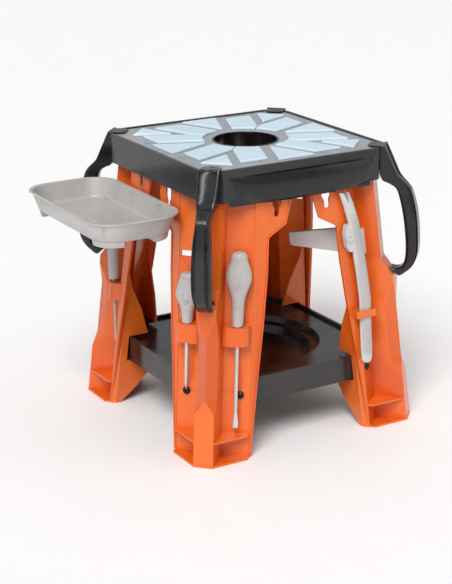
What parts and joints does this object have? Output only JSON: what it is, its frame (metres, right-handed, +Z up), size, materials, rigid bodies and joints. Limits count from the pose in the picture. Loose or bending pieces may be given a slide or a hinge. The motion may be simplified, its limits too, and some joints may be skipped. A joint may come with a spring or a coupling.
{
  "type": "toy workbench",
  "caption": "Child's play workbench with splayed moulded legs, a tiled top with a centre hole, corner grab handles, a lower shelf, a plug-in side tray and hanging toy tools.",
  "frame": {"origin": "on the floor, under the middle of the table top's centre hole", "axes": "+Z up, -Y towards the bowed front apron, -X towards the side tray"},
  "size_m": [0.5307, 0.4194, 0.452],
  "materials": {
    "orange_plastic": "glossy moulded",
    "black_plastic": "glossy moulded",
    "shelf_plastic": "satin moulded",
    "panel_plastic": "satin moulded",
    "tile_plastic": "satin moulded",
    "tool_plastic": "satin moulded",
    "shaft_metal_look": "silver coloured",
    "screw_steel": "blackened"
  },
  "bodies": {
    "bench": {"table_frame": "black_plastic", "top_panel": "panel_plastic", "hole_collar": "panel_plastic", "tile_bar_1": "tile_plastic", "tile_wedge_1": "tile_plastic", "tile_bar_2": "tile_plastic", "tile_wedge_2": "tile_plastic", "tile_bar_3": "tile_plastic", "tile_wedge_3": "tile_plastic", "tile_bar_4": "tile_plastic", "tile_wedge_4": "tile_plastic", "tile_bar_5": "tile_plastic", "tile_wedge_5": "tile_plastic", "tile_bar_6": "tile_plastic", "tile_wedge_6": "tile_plastic", "tile_bar_7": "tile_plastic", "tile_wedge_7": "tile_plastic", "tile_bar_8": "tile_plastic", "tile_wedge_8": "tile_plastic", "leg_front": "orange_plastic", "handle_front": "black_plastic", "shelf_screw_front_1": "screw_steel", "shelf_screw_front_2": "screw_steel", "leg_right": "orange_plastic", "handle_right": "black_plastic", "shelf_screw_right_1": "screw_steel", "shelf_screw_right_2": "screw_steel", "leg_back": "orange_plastic", "handle_back": "black_plastic", "shelf_screw_back_1": "screw_steel", "shelf_screw_back_2": "screw_steel", "leg_left": "orange_plastic", "handle_left": "black_plastic", "shelf_screw_left_1": "screw_steel", "shelf_screw_left_2": "screw_steel", "shelf": "shelf_plastic", "hammer": "tool_plastic"},
    "post": {"tray_post": "tool_plastic"},
    "tray": {"tray": "tool_plastic"},
    "driver_flat": {"driver_handle_flat": "tool_plastic", "driver_shaft_flat": "shaft_metal_look"},
    "driver_cross": {"driver_handle_cross": "tool_plastic", "driver_shaft_cross": "shaft_metal_look"}
  },
  "joints": [
    {"name": "tray_post_lift", "type": "slide", "parent": "bench", "child": "post", "axis": [0, 0, 1], "range_m": [0, 0.12]},
    {"name": "tray_swivel", "type": "hinge", "parent": "post", "child": "tray", "pos_m": [-0.1792, 0.1202, 0.33], "axis": [0, 0, 1], "range_deg": [-18, 0]},
    {"name": "flat_driver_lift", "type": "slide", "parent": "bench", "child": "driver_flat", "axis": [0.0844, 0.0844, 0.9929], "range_m": [0, 0.065]},
    {"name": "cross_driver_lift", "type": "slide", "parent": "bench", "child": "driver_cross", "axis": [0.0844, 0.0844, 0.9929], "range_m": [0, 0.1]}
  ]
}
